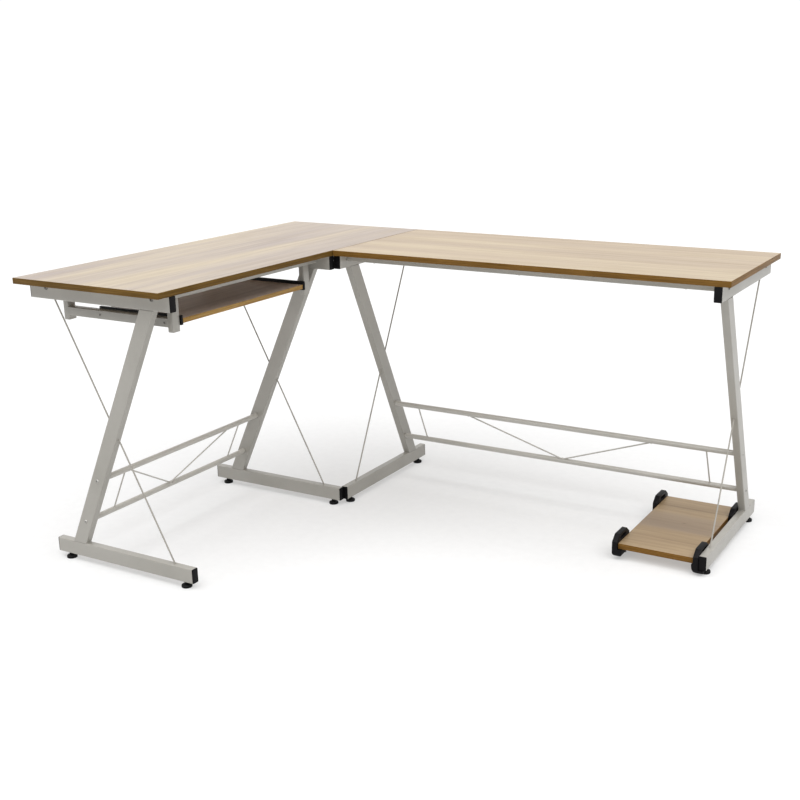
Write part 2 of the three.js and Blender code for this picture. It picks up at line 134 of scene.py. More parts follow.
def outward_t(name):
    """-1 or +1: the side of a frame that faces away from the space between the two frames."""
    return 1 if name in ("left_inner", "right_end") else -1


def section(node, top):
    """Lowest and highest s of a sloping member where it is cut level, at its top or its foot."""
    back = wing_of(node).inverted()
    points = [back @ vertex.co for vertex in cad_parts[node].data.vertices]
    level = (max if top else min)(point.z for point in points)
    across = [point.x for point in points if abs(point.z - level) < 0.1 * MM]
    return min(across), max(across), level


# ---------------------------------------------------------------- mesh helpers
def finish_mesh(name, mesh, body, slot, *materials, replaces=()):
    """Links a mesh as a piece that rides on a body."""
    piece = bpy.data.objects.new(name, mesh)
    bpy.context.scene.collection.objects.link(piece)
    for material in materials:
        mesh.materials.append(material)
    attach(piece, body)
    if replaces:
        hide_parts(*replaces)


def to_mesh(name, shape, smooth_angle=35):
    """Turns a bmesh into a mesh whose faces shade smoothly across shallow edges only."""
    bmesh.ops.recalc_face_normals(shape, faces=shape.faces)
    limit = math.radians(smooth_angle)
    for face in shape.faces:
        face.smooth = True
    for edge in shape.edges:
        edge.smooth = len(edge.link_faces) == 2 and edge.calc_face_angle(0) < limit
    mesh = bpy.data.meshes.new(name)
    shape.to_mesh(mesh)
    shape.free()
    return mesh


def loft(shape, rings, closed=False):
    """Skins a list of point rings; the ends are filled, or the last joins the first if closed."""
    made = [[shape.verts.new(point) for point in ring] for ring in rings]
    count = len(made[0])
    pairs = list(zip(made, made[1:]))
    if closed:
        pairs.append((made[-1], made[0]))
    for first, second in pairs:
        for index in range(count):
            after = (index + 1) % count
            shape.faces.new((first[index], first[after], second[after], second[index]))
    if not closed:
        shape.faces.new(list(reversed(made[0])))
        shape.faces.new(made[-1])


def rounded_loop(half_u, half_v, radius, steps=4):
    """Points of a rectangle with rounded corners, centred on the origin."""
    points = []
    for quarter, (sign_u, sign_v) in enumerate(((1, 1), (-1, 1), (-1, -1), (1, -1))):
        for step in range(steps + 1):
            angle = math.pi / 2 * (quarter + step / steps)
            u = sign_u * (half_u - radius) + radius * math.cos(angle)
            v = sign_v * (half_v - radius) + radius * math.sin(angle)
            points.append((u, v))
    return points


def ring_radius(radius, angle, sides):
    """Radius at an angle of a round (0 sides) or a polygonal outline."""
    if not sides:
        return radius
    sector = 2 * math.pi / sides
    return radius * math.cos(sector / 2) / math.cos(angle % sector - sector / 2)


def turned(shape, profile, place, segments=24):
    """Turns (radius, height) or (radius, height, sides) pairs about the z axis of place."""
    rings = []
    for entry in profile:
        radius, height, sides = (*entry, 0)[:3]
        ring = []
        for step in range(segments):
            angle = 2 * math.pi * step / segments
            reach = ring_radius(radius, angle, sides)
            ring.append(place @ Vector((reach * math.cos(angle), reach * math.sin(angle), height)))
        rings.append(ring)
    loft(shape, rings)


def facing(point, direction):
    """A matrix whose z axis points in a direction, with its origin at a point."""
    turn = Vector(direction).to_track_quat("Z", "Y").to_matrix().to_4x4()
    return Matrix.Translation(point) @ turn


def sweep(shape, path, radius, segments=8, ripple=0.0, seed=0.0):
    """A round bead along a straight or bent path, its radius rippled like a weld."""
    rings = []
    for index, point in enumerate(path):
        ahead = path[min(index + 1, len(path) - 1)] - path[max(index - 1, 0)]
        place = facing(point, ahead)
        share = index / (len(path) - 1)
        taper = min(1.0, 0.35 + 6 * min(share, 1 - share))
        wave = 1 + ripple * noise.noise(Vector((seed, index * 0.9, 0.3)))
        reach = radius * taper * wave
        rings.append([
            place @ Vector((reach * math.cos(turn), reach * math.sin(turn), 0))
            for turn in (2 * math.pi * step / segments for step in range(segments))
        ])
    loft(shape, rings)


def rounded_block(shape, low, high, radius):
    """A box between two corners with all its edges rounded."""
    made = bmesh.ops.create_cube(shape, size=1.0)["verts"]
    size = high - low
    for vertex in made:
        vertex.co = low + Vector([(value + 0.5) * span for value, span in zip(vertex.co, size)])
    edges = list({edge for vertex in made for edge in vertex.link_edges})
    bmesh.ops.bevel(shape, geom=edges, offset=radius, segments=2, profile=0.5, affect="EDGES")


# ---------------------------------------------------------------- material helpers
def colour(hex_code):
    """Linear colour of a six-figure sRGB code."""
    channels = [int(hex_code[start:start + 2], 16) / 255 for start in (0, 2, 4)]
    linear = [c / 12.92 if c <= 0.04045 else ((c + 0.055) / 1.055) ** 2.4 for c in channels]
    return (*linear, 1.0)


class Surface:
    """A material under construction: its node tree, its shader and a few short-hands."""

    def __init__(self, name, roughness=0.5, metallic=0.0, specular=0.5):
        self.material = bpy.data.materials.new(name)
        self.material.use_nodes = True
        self.tree = self.material.node_tree
        self.shader = self.tree.nodes["Principled BSDF"]
        self.shader.inputs["Roughness"].default_value = roughness
        self.shader.inputs["Metallic"].default_value = metallic
        self.shader.inputs["Specular IOR Level"].default_value = specular
        self.place = self.tree.nodes.new("ShaderNodeTexCoord").outputs["Object"]

    def link(self, source, socket):
        self.tree.links.new(source, socket)

    def stretched(self, scale, vector=None):
        """Coordinates multiplied by a scale along each axis."""
        made = self.tree.nodes.new("ShaderNodeVectorMath")
        made.operation = "MULTIPLY"
        made.inputs[1].default_value = scale
        self.link(vector or self.place, made.inputs[0])
        return made.outputs["Vector"]

    def noise(self, scale, vector=None, detail=3.0, roughness=0.5, distortion=0.0, colour_out=False):
        made = self.tree.nodes.new("ShaderNodeTexNoise")
        made.inputs["Scale"].default_value = scale
        made.inputs["Detail"].default_value = detail
        made.inputs["Roughness"].default_value = roughness
        made.inputs["Distortion"].default_value = distortion
        self.link(vector or self.place, made.inputs["Vector"])
        return made.outputs["Color" if colour_out else "Fac"]

    def warped(self, scale, amount):
        """Coordinates pushed about by a slow noise, so that grain wanders."""
        wander = self.noise(scale, detail=2.0, colour_out=True)
        centred = self.tree.nodes.new("ShaderNodeVectorMath")
        centred.operation = "SUBTRACT"
        centred.inputs[1].default_value = (0.5, 0.5, 0.5)
        self.link(wander, centred.inputs[0])
        moved = self.tree.nodes.new("ShaderNodeVectorMath")
        moved.operation = "MULTIPLY_ADD"
        moved.inputs[1].default_value = amount
        self.link(centred.outputs["Vector"], moved.inputs[0])
        self.link(self.place, moved.inputs[2])
        return moved.outputs["Vector"]

    def ramp(self, factor, *stops):
        """Colours or greys spread over a factor; each stop is (position, value)."""
        made = self.tree.nodes.new("ShaderNodeValToRGB")
        elements = made.color_ramp.elements
        while len(elements) < len(stops):
            elements.new(0.5)
        for element, (position, value) in zip(elements, stops):
            element.position = position
            element.color = value if isinstance(value, tuple) else (value, value, value, 1)
        self.link(factor, made.inputs["Fac"])
        return made.outputs["Color"]

    def blend(self, factor, first, second, kind="MIX"):
        """One colour over another by a factor; each is a colour or a socket."""
        made = self.tree.nodes.new("ShaderNodeMix")
        made.data_type = "RGBA"
        made.blend_type = kind
        for socket, value in ((made.inputs[0], factor), (made.inputs[6], first), (made.inputs[7], second)):
            if isinstance(value, bpy.types.NodeSocket):
                self.link(value, socket)
            else:
                socket.default_value = value
        return made.outputs[2]

    def spread(self, factor, low, high):
        """A 0..1 factor spread between two values."""
        made = self.tree.nodes.new("ShaderNodeMapRange")
        made.inputs["To Min"].default_value = low
        made.inputs["To Max"].default_value = high
        self.link(factor, made.inputs["Value"])
        return made.outputs["Result"]

    def bump(self, height, strength, distance, below=None):
        made = self.tree.nodes.new("ShaderNodeBump")
        made.inputs["Strength"].default_value = strength
        made.inputs["Distance"].default_value = distance
        self.link(height, made.inputs["Height"])
        if below is not None:
            self.link(below, made.inputs["Normal"])
        return made.outputs["Normal"]

    def done(self, base, roughness=None, normal=None):
        self.link(base, self.shader.inputs["Base Color"])
        if roughness is not None:
            self.link(roughness, self.shader.inputs["Roughness"])
        if normal is not None:
            self.link(normal, self.shader.inputs["Normal"])
        return self.material


def stretch(axis, along, across):
    """Noise frequencies for grain that runs along one horizontal axis."""
    return (along, across, across) if axis == "X" else (across, along, across)


# ---------------------------------------------------------------- materials
def heartwood(surface, grain, tone, streak):
    """A broad dull band across the middle of the stand's board, with one small knot in it."""
    low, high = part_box("stand_board")
    across = surface.tree.nodes.new("ShaderNodeMapRange")
    across.inputs["From Min"].default_value = low.y
    across.inputs["From Max"].default_value = high.y
    parts = surface.tree.nodes.new("ShaderNodeSeparateXYZ")
    surface.link(grain, parts.inputs["Vector"])
    surface.link(parts.outputs["Y"], across.inputs["Value"])
    band = surface.ramp(across.outputs["Result"], (0.36, 0.0), (0.41, 0.62), (0.66, 0.5), (0.72, 0.0))
    tone = surface.blend(band, tone, colour("857566"))
    knot = low.lerp(high, 0.54)
    from_knot = surface.tree.nodes.new("ShaderNodeVectorMath")
    from_knot.operation = "SUBTRACT"
    from_knot.inputs[1].default_value = knot
    surface.link(surface.place, from_knot.inputs[0])
    reach = surface.tree.nodes.new("ShaderNodeVectorMath")
    reach.operation = "LENGTH"
    surface.link(surface.stretched((110.0, 260.0, 0.0), from_knot.outputs["Vector"]), reach.inputs[0])
    return surface.blend(surface.ramp(reach.outputs["Value"], (0.15, 0.7), (1.0, 0.0)), tone, streak)


def wood_laminate(name, axis, light, middle, dark, streak, contrast=1.0):
    """Printed wood grain under a satin melamine skin."""
    surface = Surface(name, roughness=0.45, specular=0.35)
    wander = (0.0, 0.014, 0.0) if axis == "X" else (0.014, 0.0, 0.0)
    grain = surface.warped(2.6, wander)
    bands = surface.noise(1.0, surface.stretched(stretch(axis, 0.9, 13.0), grain), detail=2.5)
    tone = surface.ramp(bands, (0.3, dark), (0.5, middle), (0.68, light))
    fine_grain = surface.stretched(stretch(axis, 2.4, 85.0), grain)
    fine = surface.noise(1.0, fine_grain, detail=5.0, roughness=0.62)
    mask = surface.ramp(fine, (0.44, 0.0), (0.72, 0.34 * contrast))
    tone = surface.blend(mask, tone, streak)
    hair_grain = surface.stretched(stretch(axis, 7.0, 420.0), grain)
    hairs = surface.noise(1.0, hair_grain, detail=3.0, roughness=0.7)
    hair_mask = surface.ramp(hairs, (0.5, 0.0), (0.78, 0.3 * contrast))
    tone = surface.blend(hair_mask, tone, streak, "MULTIPLY")
    if name.startswith("stand_board"):
        tone = heartwood(surface, grain, tone, streak)
    pores = surface.noise(1.0, surface.stretched(stretch(axis, 30.0, 1500.0), grain), detail=2.0)
    skin = surface.noise(2600.0, detail=1.0)
    relief = surface.bump(pores, 0.10, 0.0002)
    relief = surface.bump(skin, 0.04, 0.0001, relief)
    return surface.done(tone, surface.spread(fine, 0.38, 0.52), relief)


def edge_band(name, light, dark):
    """Plastic edge band printed with short fine grain, darker and a little rougher in patches."""
    surface = Surface(name, roughness=0.45, specular=0.12)
    grain = surface.warped(5.0, (0.004, 0.004, 0.001))
    lines = surface.noise(1.0, surface.stretched((9.0, 9.0, 420.0), grain), detail=4.0, roughness=0.65)
    patches = surface.noise(7.0, detail=2.0)
    tone = surface.ramp(lines, (0.36, dark), (0.64, light))
    tone = surface.blend(surface.ramp(patches, (0.4, 0.0), (0.7, 0.35)), tone, dark)
    relief = surface.bump(surface.noise(1800.0, detail=1.0), 0.06, 0.0001)
    return surface.done(tone, surface.spread(patches, 0.4, 0.52), relief)


def powder_coat(name, base, shade, roughness=0.4, specular=0.62):
    """Baked powder coat: faint orange peel, and a touch of dust in patches."""
    surface = Surface(name, roughness=roughness, specular=specular)
    patches = surface.noise(6.0, detail=4.0, roughness=0.6)
    grit = surface.noise(900.0, detail=2.0)
    tone = surface.blend(surface.ramp(patches, (0.35, 0.0), (0.75, 0.8)), base, shade)
    tone = surface.blend(surface.ramp(grit, (0.52, 0.0), (0.8, 0.12)), tone, shade, "MULTIPLY")
    peel = surface.noise(420.0, detail=2.0)
    relief = surface.bump(peel, 0.10, 0.00025)
    relief = surface.bump(grit, 0.05, 0.0001, relief)
    return surface.done(tone, surface.spread(patches, roughness - 0.05, roughness + 0.09), relief)


def moulded_plastic(name, base, worn, roughness=0.5):
    """Moulded plastic with a spark-eroded texture and paler rubbed patches."""
    surface = Surface(name, roughness=roughness, specular=0.12)
    cloud = surface.noise(38.0, detail=4.0, roughness=0.6)
    tone = surface.blend(surface.ramp(cloud, (0.45, 0.0), (0.8, 0.6)), base, worn)
    grain = surface.noise(1500.0, detail=2.0)
    relief = surface.bump(grain, 0.22, 0.0002)
    return surface.done(tone, surface.spread(cloud, roughness - 0.08, roughness + 0.12), relief)


def zinc_plate(name, dull, bright):
    """Plated steel, brighter and duller in small blooms."""
    surface = Surface(name, roughness=0.28, metallic=1.0)
    bloom = surface.noise(260.0, detail=3.0)
    tone = surface.ramp(bloom, (0.35, dull), (0.7, bright))
    fine = surface.noise(2400.0, detail=1.0)
    return surface.done(tone, surface.spread(bloom, 0.2, 0.42), surface.bump(fine, 0.1, 0.0001))


def studio_floor(name):
    """Seamless pale studio paper, lit from within a little so that shadows stay soft."""
    surface = Surface(name, roughness=0.9, specular=0.0)
    tooth = surface.noise(40.0, detail=3.0)
    tone = surface.ramp(tooth, (0.3, 0.50), (0.7, 0.52))
    surface.shader.inputs["Emission Color"].default_value = (1.0, 1.0, 1.0, 1.0)
    surface.shader.inputs["Emission Strength"].default_value = FLOOR_GLOW
    return surface.done(tone, None, surface.bump(tooth, 0.02, 0.0002))


LEFT_LAMINATE = wood_laminate(
    "left_top_laminate", "Y", colour("bcae97"), colour("b1a495"), colour("a49890"), colour("8a7969"),
    contrast=1.15)
RIGHT_LAMINATE = wood_laminate(
    "right_top_laminate", "X", colour("bdae93"), colour("b3a28b"), colour("a79682"), colour("8c775c"),
    contrast=1.3)
TRAY_LAMINATE = wood_laminate(
    "tray_board_laminate", "Y", colour("d8c6b9"), colour("cab7aa"), colour("b9a699"), colour("968477"))
STAND_LAMINATE = wood_laminate(
    "stand_board_laminate", "X", colour("ab9473"), colour("9f8869"), colour("907a5d"), colour("6a553c"),
    contrast=1.2)
TOP_BAND = edge_band("top_edge_band", colour("735727"), colour("503911"))
WARM_BAND = edge_band("right_edge_band", colour("83602d"), colour("5e4218"))
STAND_BAND = edge_band("stand_edge_band", colour("85602c"), colour("634518"))
TRAY_BAND = edge_band("tray_edge_band", colour("b08e55"), colour("8c6a36"))
FRAME_COAT = powder_coat("frame_powder_coat", colour("a5a29b"), colour("97948c"), 0.3)
# painted light: the frame's own coat made lighter on the stretcher tubes and their welds, standing in for
# the highlight that falls on the tubes
STRETCHER_COAT_PAINTED_LIGHTER = powder_coat("stretcher_coat_painted_lighter", colour("bcb9b2"), colour("aeaba3"), 0.3)
ROD_COAT = powder_coat("rod_powder_coat", colour("a09c94"), colour("8d8981"))
BLACK_COAT = powder_coat("channel_black_coat", colour("0e0e0f"), colour("080809"), 0.34, 0.2)
BLACK_PLASTIC = moulded_plastic("black_moulded_plastic", colour("070608"), colour("111112"))
FOOT_PLASTIC = moulded_plastic("foot_moulded_plastic", colour("0d0d0e"), colour("19191a"), 0.5)
ZINC = zinc_plate("zinc_plated_steel", colour("8f8e8b"), colour("c8c6c1"))
# painted shade: the zinc plate made darker for the top-bar and hanger screws, which sit in shade under the
# tops
SHADE_DARKENED_ZINC = zinc_plate("screw_zinc_darkened_for_shade", colour("3f3d3a"), colour("8d8a85"))


# ---------------------------------------------------------------- boards
def board_loop(low, high, inset, z):
    """Outline of a board at a height, drawn in by an inset."""
    middle = (low + high) / 2
    loop = rounded_loop((high.x - low.x) / 2 - inset, (high.y - low.y) / 2 - inset, BOARD_CORNER - inset)
    return [Vector((middle.x + u, middle.y + v, z)) for u, v in loop]


def board_core(node, body, slot, material):
    """The laminated board inside its edge band."""
    low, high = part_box(node)
    shape = bmesh.new()
    inset = BAND + HAIR
    loft(shape, [board_loop(low, high, inset, z) for z in (low.z, high.z)])
    finish_mesh(f"{node}_core", to_mesh(node, shape), body, slot, material, replaces=(node,))


def band_profile(low_z, high_z):
    """(inset, height) pairs up the band's outside, with a quarter round at each long edge."""
    turns = [math.radians(30 * step) for step in range(4)]
    bottom = [(BAND_ROUND * (1 - math.sin(a)), low_z + BAND_ROUND * (1 - math.cos(a))) for a in turns]
    top = [(BAND_ROUND * (1 - math.cos(a)), high_z - BAND_ROUND * (1 - math.sin(a))) for a in turns]
    return [(BAND, low_z), *bottom, *top, (BAND, high_z)]


def board_band(node, body, slot, material):
    """The edge band right round a board, its long edges rounded over."""
    low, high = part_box(node)
    shape = bmesh.new()
    rings = [board_loop(low, high, inset, z) for inset, z in band_profile(low.z, high.z)]
    loft(shape, rings, closed=True)
    finish_mesh(f"{node}_band", to_mesh(node, shape), body, slot, material)


def make_board(node, body, slot, laminate, band):
    board_core(node, body, slot, laminate)
    board_band(node, body, slot, band)


# ---------------------------------------------------------------- screws and bolts
def button_head(shape, place, radius):
    """A domed furniture bolt with a hexagon socket; place has its z axis out of the surface."""
    height = radius * 0.55
    socket = radius * 0.42
    angles = [math.radians(degrees) for degrees in (88, 68, 48, 34)]
    dome = [(radius * math.sin(angle), height * math.cos(angle)) for angle in angles]
    turned(shape, [(radius * 0.9, 0.0), (radius, 0.08 * height), *dome,
                   (socket, height * 0.88, 6), (socket * 0.96, height * 0.2, 6)], place, segments=36)


def pan_head(shape, place, radius):
    """A pan-head screw with a cross recess cut as a small star."""
    height = radius * 0.5
    turned(shape, [(radius * 0.96, 0.0), (radius, height * 0.3), (radius * 0.9, height * 0.75),
                   (radius * 0.62, height), (radius * 0.4, height, 4), (radius * 0.2, height * 0.35, 4)],
           place, segments=24)


def fasteners(name, body, material, slot, spots, head, radius):
    """One piece per spot; a spot is (wing, (s, t, z), direction in the wing's axes)."""
    for index, (wing, point, direction) in enumerate(spots):
        shape = bmesh.new()
        head(shape, WINGS[wing] @ facing(Vector(point), direction), radius)
        finish_mesh(f"{name}_{index + 1}", to_mesh(name, shape), body, slot, material)


def bar_screw_spots():
    """Two screws through each top bar, into the ends of the rails."""
    spots = []
    for name in FRAMES:
        wing = wing_name(name)
        out = outward_t(name)
        low, high = local_box(f"{name}_top_bar")
        face = high.y if out > 0 else low.y
        for side in ("rear", "front"):
            rail = centre(f"{wing}_{side}_rail")
            spots.append((wing, (rail.x, face, rail.z), (0, out, 0)))
    return spots


def leg_bolt_spots():
    """One bolt through each leg into the end of each stretcher tube."""
    spots = []
    for name in FRAMES:
        wing = wing_name(name)
        out = outward_t(name)
        low, high = local_box(f"{name}_leg")
        face = high.y if out > 0 else low.y
        for point in stretcher_axes(wing):
            spots.append((wing, (point.x, face, point.z), (0, out, 0)))
    return spots


def stretcher_axes(wing):
    """(s, 0, z) of the lower and the upper stretcher tube."""
    low, high = local_box(f"{wing}_stretcher")
    edge = Vector((STRETCHER_RADIUS, 0, STRETCHER_RADIUS))
    lower, upper = low + edge, high - edge
    return Vector((lower.x, 0, lower.z)), Vector((upper.x, 0, upper.z))


def rail_screw_spots():
    """Screws up through each rail into the top."""
    spots = []
    for wing in WINGS:
        for side in ("rear", "front"):
            low, high = local_box(f"{wing}_{side}_rail")
            for share in (0.08, 0.5, 0.92):
                t = low.y + (high.y - low.y) * share
                spots.append((wing, ((low.x + high.x) / 2, t, low.z), (0, 0, -1)))
    return spots


def hanger_screw_spots():
    """Screws through each hanging bracket into the slide's fixed rail."""
    spots = []
    for name, out in (("near", -1), ("far", 1)):
        low, high = local_box(f"tray_hanger_{name}")
        rail_low, rail_high = local_box(f"tray_rail_{name}")
        face = low.y if out < 0 else high.y
        height = (rail_low.z + rail_high.z) / 2 - HANGER_SCREW_DROP
        for share in (0.1, 0.95):
            s = rail_low.x + (rail_high.x - rail_low.x) * share
            spots.append(("left", (s, face, height), (0, out, 0)))
    return spots


def hanger_catch_spots():
    """A dark fixing on the user's side of each bracket's rear leg, above the slide."""
    spots = []
    s = centre("left_rear_rail").x + HANGER_LEG / 2
    for name in ("near", "far"):
        low, high = local_box(f"tray_hanger_{name}")
        spots.append(("left", (s, (low.y + high.y) / 2, high.z - CATCH_DROP), (1, 0, 0)))
    return spots


# ---------------------------------------------------------------- welds
def weld_line(shape, wing, start, end, radius, seed):
    """A straight rippled bead between two points in the wing's axes."""
    steps = max(6, int((end - start).length / (1.6 * MM)))
    path = [WINGS[wing] @ start.lerp(end, step / steps) for step in range(steps + 1)]
    sweep(shape, path, radius, ripple=0.35, seed=seed)


def frame_welds(name, index):
    """Fillet beads across the front and back of the leg at both bars, and round the rod's ends."""
    wing = wing_name(name)
    low, high = local_box(f"{name}_leg")
    shape = bmesh.new()
    for top in (False, True):
        s_low, s_high, level = section(f"{name}_leg", top)
        for s in (s_low, s_high):
            start = Vector((s, low.y + BEAD_INSET, level))
            end = Vector((s, high.y - BEAD_INSET, level))
            weld_line(shape, wing, start, end, FRAME_BEAD, index * 10 + s * 7)
        rod_low, rod_high, rod_level = section(f"{name}_brace_rod", top)
        reach = (rod_high - rod_low) / 2 + 0.4 * MM
        middle = Vector(((rod_low + rod_high) / 2, (low.y + high.y) / 2, rod_level))
        ring = [middle + Vector((reach * math.cos(a), reach * math.sin(a), 0))
                for a in (math.radians(24 * step) for step in range(16))]
        path = [WINGS[wing] @ point for point in ring]
        sweep(shape, path, ROD_BEAD, segments=6, ripple=0.3, seed=index)
    finish_mesh(f"{name}_welds", to_mesh(name, shape), "desk", "frame_steel", FRAME_COAT)


def stretcher_welds(wing):
    """A small bead where each wire of the ladder meets a tube."""
    low, high = local_box(f"{wing}_stretcher")
    lower, upper = stretcher_axes(wing)
    skin = (upper - lower).normalized() * STRETCHER_RADIUS
    shift, half = VEE[wing]
    middle = (low.y + high.y) / 2 + shift
    near, far = low.y + STRUT_INSET, high.y - STRUT_INSET
    wires = [(near, near), (far, far)]
    wires += [(middle + side * half, middle + side * WIRE / 2) for side in (-1, 1)]
    collar = [(WIRE * 0.9, -1.2 * MM), (WIRE * 0.9, 0.0), (WIRE * 0.75, 1.0 * MM), (WIRE * 0.52, 2.0 * MM)]
    shape = bmesh.new()
    for upper_t, lower_t in wires:
        head = upper - skin + Vector((0, upper_t, 0))
        foot = lower + skin + Vector((0, lower_t, 0))
        for point, other in ((head, foot), (foot, head)):
            turned(shape, collar, WINGS[wing] @ facing(point, other - point), segments=14)
    # the welds take the stretcher's coat, painted lighter for the light on the tubes
    finish_mesh(f"{wing}_stretcher_welds", to_mesh(wing, shape), "desk", "frame_steel", STRETCHER_COAT_PAINTED_LIGHTER)


# ---------------------------------------------------------------- end caps
def axes(origin, u, v, w):
    """A matrix that puts local x, y and z along three directions."""
    return Matrix([[u[row], v[row], w[row], origin[row]] for row in range(3)] + [[0, 0, 0, 1]])


def end_cap(node):
    """A plastic plug inside the tube and a head with rounded edges that covers its end."""
    low, high = local_box(node)
    out = 1 if node.endswith("inner") else -1
    middle = (low + high) / 2
    face = (high.x if out > 0 else low.x, middle.y, middle.z)
    place = wing_of(node) @ axes(face, (0, 1, 0), (0, 0, 1), (out, 0, 0))
    half_t = (high.y - low.y) / 2
    half_z = (high.z - low.z) / 2
    plug = WALL + HAIR
    depth = high.x - low.x
    profile = [(-depth, plug + CAP_ROUND), (CAP_ROUND - depth, plug), (-CAP_HEAD, plug), (-CAP_HEAD, 0.0)]
    profile += [(CAP_ROUND * (math.cos(a) - 1), CAP_ROUND * (1 - math.sin(a)))
                for a in (math.radians(d) for d in (90, 60, 30, 0))]
    shape = bmesh.new()
    rings = []
    for height, inset in profile:
        loop = rounded_loop(half_t - inset, half_z - inset, CAP_CORNER)
        rings.append([place @ Vector((u, v, height)) for u, v in loop])
    loft(shape, rings)
    finish_mesh(f"{node}_plug", to_mesh(node, shape), "desk", "black_plastic", BLACK_PLASTIC,
                replaces=(node,))


# ---------------------------------------------------------------- levelling feet
def fluted(shape, profile, place):
    """Turns (radius, height, flute share) triples with grip flutes round the rim."""
    steps = FLUTES * 4
    rings = []
    for radius, height, share in profile:
        ring = []
        for step in range(steps):
            angle = 2 * math.pi * step / steps
            reach = radius - FLUTE_DEPTH * share * (0.5 + 0.5 * math.cos(angle * FLUTES))
            ring.append(place @ Vector((reach * math.cos(angle), reach * math.sin(angle), height)))
        rings.append(ring)
    loft(shape, rings)


def levelling_foot(node):
    """Pad with a fluted rim, hexagon collar and threaded stud; it rides on its own screw."""
    low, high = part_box(node)
    middle = (low + high) / 2
    rim = (high.x - low.x) / 2
    place = Matrix.Translation((middle.x, middle.y, 0))
    shape = bmesh.new()
    fluted(shape, [
        (rim - 1.8 * MM, 0.0, 0), (rim - 0.5 * MM, 0.4 * MM, 0), (rim, 1.4 * MM, 0.3), (rim, 2.0 * MM, 1),
        (rim, 5.4 * MM, 1), (rim - 0.3 * MM, 6.2 * MM, 0.4), (rim - 1.4 * MM, 7.1 * MM, 0),
        (rim - 4.6 * MM, 8.0 * MM, 0), (rim - 6.2 * MM, 8.6 * MM, 0)], place)
    turned(shape, [(NUT, 8.2 * MM, 6), (NUT, 12.4 * MM, 6), (NUT * 0.86, 13.0 * MM)], place, segments=36)
    thread = []
    height = 12.8 * MM
    while height < high.z - THREAD_PITCH:
        thread += [(STUD * 0.84, height), (STUD * 0.84, height + 0.2 * THREAD_PITCH),
                   (STUD, height + 0.5 * THREAD_PITCH), (STUD, height + 0.7 * THREAD_PITCH)]
        height += THREAD_PITCH
    turned(shape, [*thread, (STUD * 0.8, high.z)], place, segments=20)
    finish_mesh(f"{node}_foot", to_mesh(node, shape), node, "leveller_plastic", FOOT_PLASTIC,
                replaces=(node,))


# ---------------------------------------------------------------- shapes taken from CAD nodes
def cad_shape(node):
    """The node's own shape as one welded bmesh with its flat faces made whole."""
    shape = bmesh.new()
    shape.from_mesh(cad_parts[node].data)
    bmesh.ops.remove_doubles(shape, verts=shape.verts, dist=0.005 * MM)
    bmesh.ops.dissolve_limit(shape, angle_limit=math.radians(1), verts=shape.verts, edges=shape.edges)
    return shape


def soften(shape, radius, angle=25):
    """Rounds every edge that is sharper than an angle."""
    limit = math.radians(angle)
    edges = [edge for edge in shape.edges if len(edge.link_faces) == 2 and edge.calc_face_angle(0) > limit]
    bmesh.ops.bevel(shape, geom=edges, offset=radius, segments=2, profile=0.5,
                    affect="EDGES", clamp_overlap=True)


def softened_node(node, body, slot, material, radius):
    """The node's shape again, with its bent or cut edges rounded."""
    shape = cad_shape(node)
    soften(shape, radius)
    finish_mesh(f"{node}_shaped", to_mesh(node, shape), body, slot, material, replaces=(node,))


def cut(shape, cutters):
    """The shape with the cutters' bmesh taken out of it, by Blender's exact boolean."""
    target = bpy.data.objects.new("target", bpy.data.meshes.new("target"))
    shape.to_mesh(target.data)
    tool = bpy.data.objects.new("tool", bpy.data.meshes.new("tool"))
    bmesh.ops.recalc_face_normals(cutters, faces=cutters.faces)
    cutters.to_mesh(tool.data)
    for made in (target, tool):
        bpy.context.scene.collection.objects.link(made)
    boolean = target.modifiers.new("cut", "BOOLEAN")
    boolean.operation = "DIFFERENCE"
    boolean.solver = "EXACT"
    boolean.object = tool
    result = bmesh.new()
    result.from_object(target, bpy.context.evaluated_depsgraph_get())
    for made in (target, tool):
        mesh = made.data
        bpy.data.objects.remove(made)
        bpy.data.meshes.remove(mesh)
    shape.free()
    cutters.free()
    bmesh.ops.dissolve_limit(result, angle_limit=math.radians(1), verts=result.verts, edges=result.edges)
    return result


# ---------------------------------------------------------------- computer stand
def guard(node):
    """A moulded guard with a strap slot through its wall and softly rounded edges."""
    low, high = local_box(node)
    slot_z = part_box("stand_board")[1].z + GUARD_SLOT_RISE
    middle_s = (low.x + high.x) / 2
    loop = rounded_loop(GUARD_SLOT.x / 2, GUARD_SLOT.y / 2, GUARD_SLOT.y * 0.3, 3)
    cutters = bmesh.new()
    rings = []
    for t in (low.y - 5 * MM, high.y + 5 * MM):
        rings.append([wing_of(node) @ Vector((middle_s + u, t, slot_z + v)) for u, v in loop])
    loft(cutters, rings)
    shape = cut(cad_shape(node), cutters)
    soften(shape, 0.6 * MM, angle=20)
    finish_mesh(f"{node}_moulding", to_mesh(node, shape, 40), "desk", "black_plastic", BLACK_PLASTIC,
                replaces=(node,))


def guard_screw_spots():
    """A screw up through each outer guard's ledge into the board."""
    spots = []
    for place in ("near", "far"):
        low, high = local_box(f"stand_guard_outer_{place}")
        inset = (high.y - local_box("stand_board")[0].y) / 2
        spots.append(("right", ((low.x + high.x) / 2, high.y - inset, low.z), (0, 0, -1)))
    return spots


# ---------------------------------------------------------------- keyboard tray
def channel_stops():
    """Plastic stops on the channels' fronts; their backs are open, where the fixed rails run out."""
    for name in ("near", "far"):
        low, high = local_box(f"tray_channel_{name}")
        shape = bmesh.new()
        first = Vector((high.x, low.y, low.z))
        last = Vector((high.x + CHANNEL_STOP, high.y, high.z))
        rounded_block(shape, first, last, 0.6 * MM)
        shape.transform(WINGS["left"])
        finish_mesh(f"tray_channel_{name}_front_stop", to_mesh(name, shape), "tray", "black_steel",
                    BLACK_PLASTIC)


